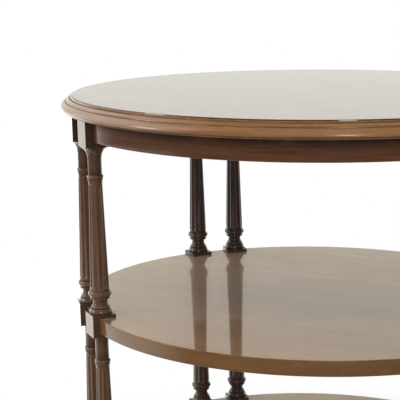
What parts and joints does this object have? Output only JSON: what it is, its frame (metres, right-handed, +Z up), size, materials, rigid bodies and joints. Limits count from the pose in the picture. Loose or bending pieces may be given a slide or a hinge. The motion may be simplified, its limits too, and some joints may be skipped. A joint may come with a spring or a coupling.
{
  "type": "tiered side table",
  "caption": "Oval tiered side table: moulded top on a shallow apron over plain oval shelves, carried by pairs of slim turned and fluted posts.",
  "frame": {"origin": "on the floor, under the centre of the oval", "axes": "+Z up, +X along the long axis of the oval, +Y towards the back"},
  "size_m": [0.6598, 0.596, 0.7],
  "materials": {
    "top_wood": "polished mahogany veneer",
    "moulding_wood": "polished solid mahogany",
    "post_wood": "polished dark solid mahogany",
    "apron_wood": "polished mahogany veneer",
    "tier_wood": "polished mahogany veneer",
    "dowel_wood": "plain beech",
    "block_wood": "unpolished pine",
    "screw_steel": "plain steel"
  },
  "bodies": {
    "root": {"post_back_right_end": "post_wood", "post_back_right_side": "post_wood", "post_back_left_end": "post_wood", "post_back_left_side": "post_wood", "post_front_left_end": "post_wood", "post_front_left_side": "post_wood", "post_front_right_end": "post_wood", "post_front_right_side": "post_wood", "apron_rail_right": "apron_wood", "apron_rail_back": "apron_wood", "apron_rail_left": "apron_wood", "apron_rail_front": "apron_wood", "apron_rail_back_right": "apron_wood", "apron_rail_back_left": "apron_wood", "apron_rail_front_left": "apron_wood", "apron_rail_front_right": "apron_wood", "middle_tier": "tier_wood", "lower_tier": "tier_wood", "top_panel": "top_wood", "top_edge_moulding": "moulding_wood", "middle_tier_dowels": "dowel_wood", "lower_tier_dowels": "dowel_wood", "apron_dowels": "dowel_wood", "top_dowels": "dowel_wood", "glue_blocks": "block_wood", "top_screws": "screw_steel"}
  },
  "joints": []
}
